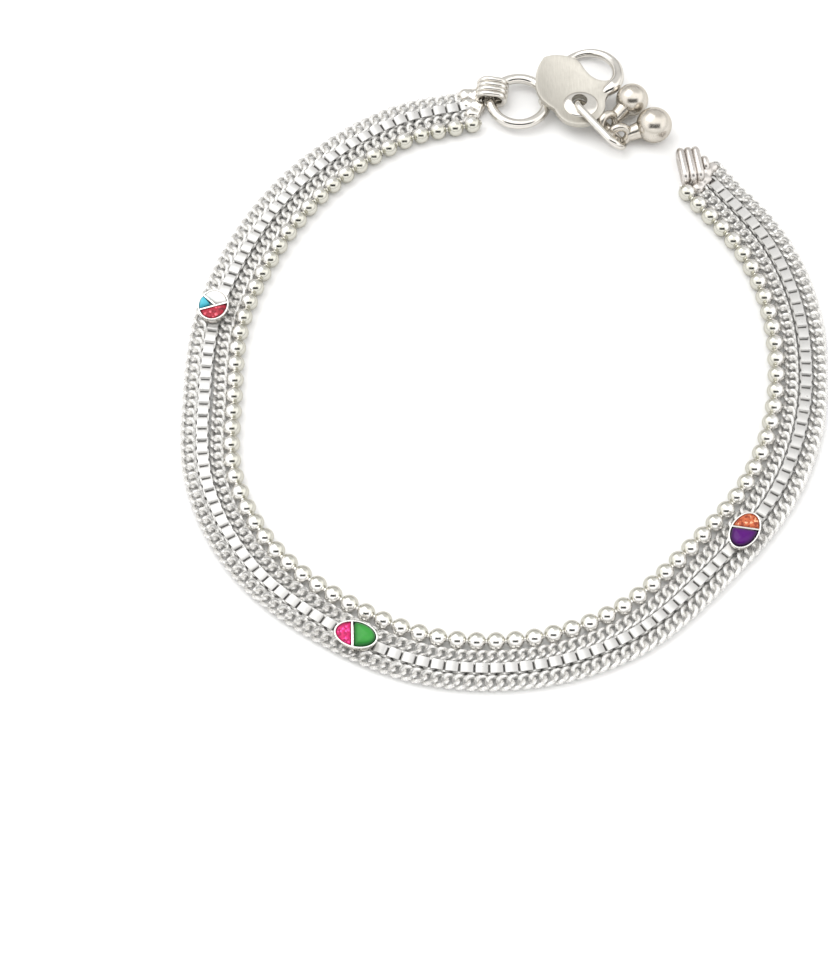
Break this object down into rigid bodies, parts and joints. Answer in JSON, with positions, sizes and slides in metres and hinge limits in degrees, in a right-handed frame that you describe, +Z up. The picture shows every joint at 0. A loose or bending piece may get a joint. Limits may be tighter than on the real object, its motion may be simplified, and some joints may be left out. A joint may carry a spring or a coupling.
{
  "type": "anklet",
  "caption": "Payal anklet of flat silver chains side by side with oval enamel settings, a hook clasp, a ring and small round bells.",
  "frame": {"origin": "under the middle of the anklet's outline, at table height", "axes": "+Z up from the table, +Y from the front of the band towards the clasp, +X to the right of the picture"},
  "size_m": [0.0982, 0.1142, 0.0057],
  "materials": {
    "ball_chain": "polished silver balls",
    "inner_curb_chain": "polished silver curb links",
    "box_chain": "polished silver box links",
    "outer_curb_chain": "polished silver curb links",
    "left_setting": "polished silver rim",
    "left_turquoise_enamel": "glossy turquoise enamel",
    "left_white_enamel": "glossy white enamel",
    "left_red_enamel": "glittering red enamel",
    "front_setting": "polished silver rim",
    "front_pink_enamel": "glittering pink enamel",
    "front_green_enamel": "glossy green enamel dome",
    "right_setting": "polished silver rim",
    "right_purple_enamel": "glossy purple enamel dome",
    "right_orange_enamel": "grainy orange enamel",
    "left_end_coil": "polished silver wire",
    "large_ring": "polished silver wire",
    "hook_clasp": "satin silver plate with a polished hook",
    "bell_link": "polished silver wire",
    "bell_one": "polished silver bell",
    "bell_two": "polished silver bell",
    "right_end_catch": "polished silver wire"
  },
  "bodies": {
    "root": {"ball_chain": "ball_chain", "inner_curb_chain": "inner_curb_chain", "box_chain": "box_chain", "outer_curb_chain": "outer_curb_chain", "left_setting": "left_setting", "left_turquoise_enamel": "left_turquoise_enamel", "left_white_enamel": "left_white_enamel", "left_red_enamel": "left_red_enamel", "front_setting": "front_setting", "front_pink_enamel": "front_pink_enamel", "front_green_enamel": "front_green_enamel", "right_setting": "right_setting", "right_purple_enamel": "right_purple_enamel", "right_orange_enamel": "right_orange_enamel", "left_end_coil": "left_end_coil", "large_ring": "large_ring", "hook_clasp": "hook_clasp", "bell_link": "bell_link", "bell_one": "bell_one", "bell_two": "bell_two", "right_end_catch": "right_end_catch"}
  },
  "joints": []
}
